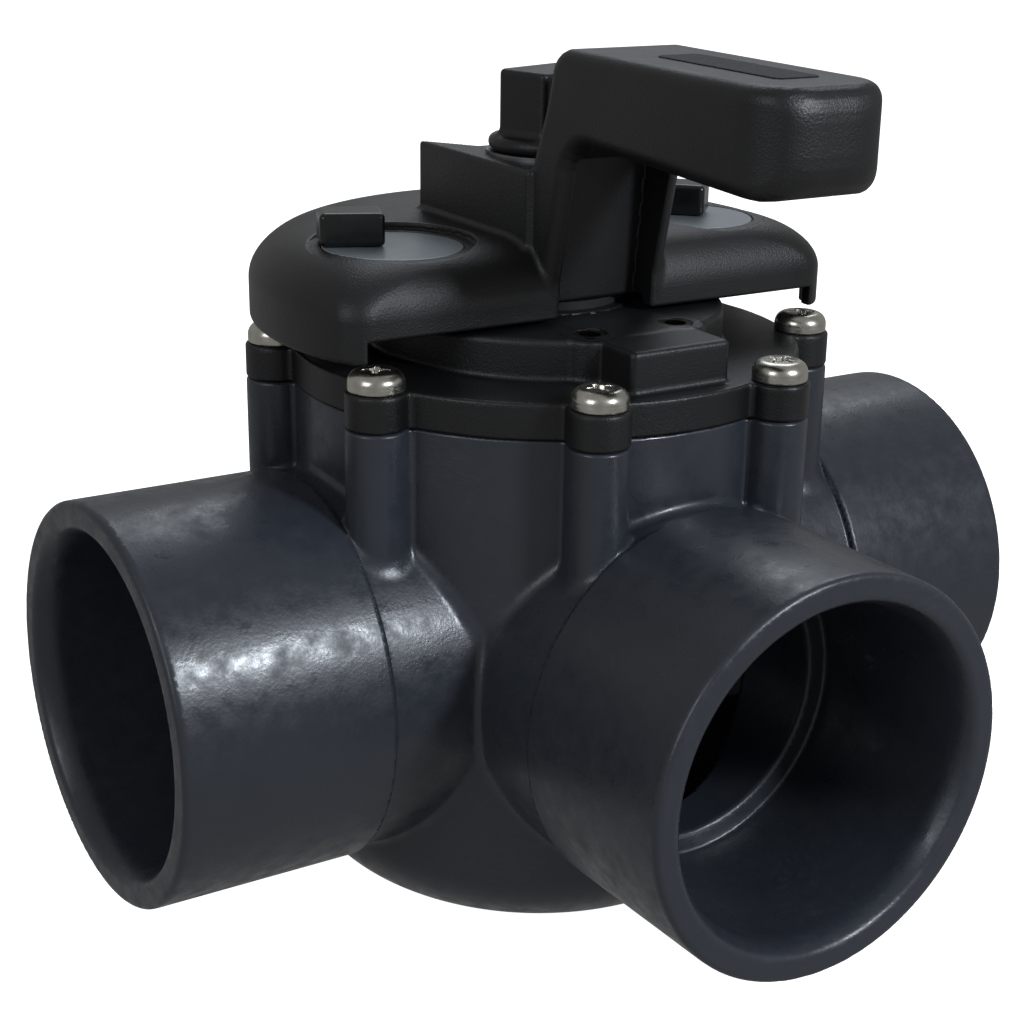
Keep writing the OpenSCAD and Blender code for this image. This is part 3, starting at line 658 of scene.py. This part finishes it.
def knob_field(x, y, z):
    out = np.hypot(x, y)
    along = np.abs(x * math.cos(KNOB_TURN) + y * math.sin(KNOB_TURN))
    across = np.abs(y * math.cos(KNOB_TURN) - x * math.sin(KNOB_TURN))
    foot = common(out - 11, between(z, KNOB_LOW, KNOB_LOW + 2.7), 1.3)
    block = common(common(along - 8, across - 5.5, 1.2), between(z, KNOB_LOW, KNOB_TOP), 0.9)
    bore = np.minimum(np.maximum(out - 5.2, z - KNOB_LOW - 10), np.maximum(out - 4.3, z - KNOB_LOW - 13.5))
    return np.maximum(join(foot, block, 1.6), -bore)


knob = mould("lock_knob_moulding", knob_field, (-11, -11, KNOB_LOW), (11, 11, KNOB_TOP), 0.35, black_plastic)
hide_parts("lock_knob")
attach(knob, "knob")


# ---------------------------------------------------------------------------
# Diverter and its rubber: the shaft, disc and curved shield are one black moulding
# that turns in the body. The rubber parts are pressed into their grooves.
# ---------------------------------------------------------------------------
def finish_node(name, material):
    """Gives a carried-over part its own material."""
    for material_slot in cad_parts[name].material_slots:
        material_slot.link = "OBJECT"
        material_slot.material = material


finish_node("diverter", black_plastic)

# Nitrile rubber, moulded: dull black, with a faint bloom in 1 mm speckles
rubber = textured_material(
    "moulded_nitrile_rubber", 0.7, 0.0, "ShaderNodeTexNoise", {"Scale": 1000.0, "Detail": 3.0},
    "#0c0c0c", "#1d1d1c", (0.4, 0.0001))[0]
for name in ("diverter_seal", "stem_o_rings", "cover_o_ring", "dust_seal"):
    finish_node(name, rubber)


# ---------------------------------------------------------------------------
# Bearings and fastenings: acetal bushes, turned brass sleeves moulded into the
# plastic, and a steel stud and washers. Most of them are out of sight.
# ---------------------------------------------------------------------------
# Natural acetal, turned: milky white and waxy, with tool rings 0.4 mm apart
acetal = textured_material(
    "turned_natural_acetal", 0.4, 0.0, "ShaderNodeTexWave",
    {"wave_type": "RINGS", "rings_direction": "Z", "Scale": 800.0},
    "#d6d4c8", "#e6e4da", (0.2, 0.00005))[0]
for name in ("lower_bush", "stem_bush"):
    finish_node(name, acetal)

# Free cutting brass, turned: yellow, with tool rings 0.6 mm apart and dull patches
brass, brass_tree, brass_shader = new_material("turned_brass", 0.3, 1.0)
brass_place = add_node(brass_tree, "ShaderNodeTexCoord").outputs["Object"]
brass_rings = add_node(brass_tree, "ShaderNodeTexWave", {"wave_type": "BANDS", "bands_direction": "Z",
                                                         "Scale": 500.0}, {"Vector": brass_place})
brass_dull = add_node(brass_tree, "ShaderNodeTexNoise", {"Scale": 300.0}, {"Vector": brass_place})
brass_tone = add_node(brass_tree, "ShaderNodeMix", {"data_type": "RGBA", 6: linear("#8c6f35"),
                                                    7: linear("#c7a258")}, {0: brass_dull.outputs["Fac"]})
brass_bump = add_node(brass_tree, "ShaderNodeBump", {"Strength": 0.3, "Distance": 0.00004},
                      {"Height": brass_rings.outputs["Fac"]})
brass_tree.links.new(brass_tone.outputs[2], brass_shader.inputs["Base Color"])
brass_tree.links.new(brass_bump.outputs["Normal"], brass_shader.inputs["Normal"])
for name in ("screw_inserts", "knob_insert"):
    finish_node(name, brass)

# The same brass, blackened, in the actuator posts: brown black and half glossy
blackened, blackened_tree, blackened_shader = new_material("blackened_brass", 0.35, 1.0)
blackened_place = add_node(blackened_tree, "ShaderNodeTexCoord").outputs["Object"]
blackened_dull = add_node(blackened_tree, "ShaderNodeTexNoise", {"Scale": 900.0}, {"Vector": blackened_place})
blackened_tone = add_node(blackened_tree, "ShaderNodeMix", {"data_type": "RGBA", 6: linear("#141210"),
                                                            7: linear("#33291c")},
                          {0: blackened_dull.outputs["Fac"]})
blackened_tree.links.new(blackened_tone.outputs[2], blackened_shader.inputs["Base Color"])
finish_node("actuator_inserts", blackened)

# Stainless steel, turned and stamped: cool grey, brushed round, with soft stains
stainless = textured_material(
    "turned_stainless_steel", 0.32, 1.0, "ShaderNodeTexNoise", {"Scale": 260.0, "Detail": 3.0},
    "#6c6c6d", "#98989a", (0.2, 0.00004))[0]
for name in ("thrust_washer", "lock_stud", "handle_washer"):
    finish_node(name, stainless)
